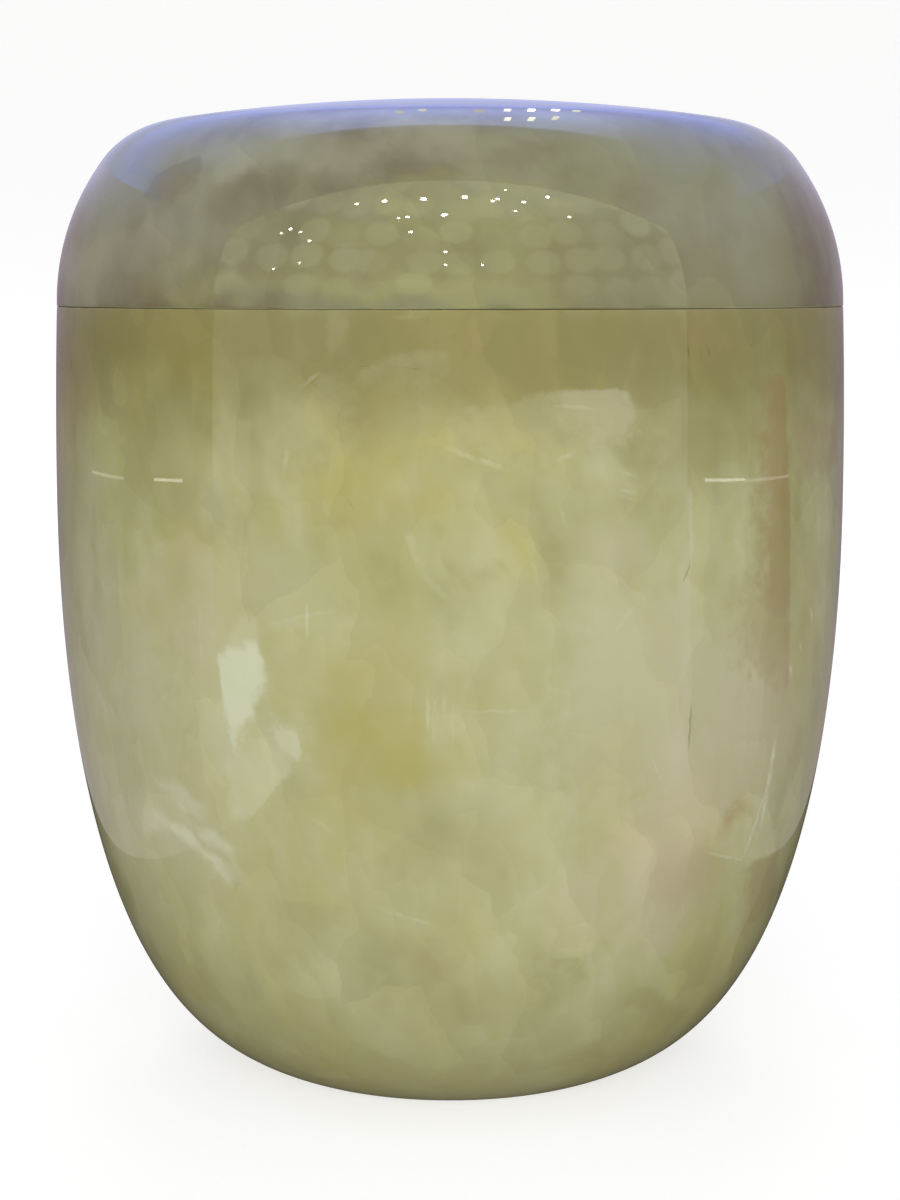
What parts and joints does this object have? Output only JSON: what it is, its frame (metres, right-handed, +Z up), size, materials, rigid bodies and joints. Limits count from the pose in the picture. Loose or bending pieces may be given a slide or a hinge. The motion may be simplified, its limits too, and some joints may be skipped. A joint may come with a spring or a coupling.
{
  "type": "cremation urn",
  "caption": "Turned and polished green onyx cremation urn: a hollow rounded vessel with a flat underside and a hollow domed lift-off lid.",
  "frame": {"origin": "centre of the flat underside that the urn stands on", "axes": "+Z up, along the axis that both pieces are turned about; -Y faces the viewer of the picture and +X is to their right"},
  "size_m": [0.206, 0.206, 0.2503],
  "materials": {
    "body_onyx": "polished translucent yellow-green onyx with pale clouds",
    "lid_onyx": "polished translucent grey-green onyx with pale clouds"
  },
  "bodies": {
    "root": {"urn_body": "body_onyx", "urn_lid": "lid_onyx"}
  },
  "joints": []
}
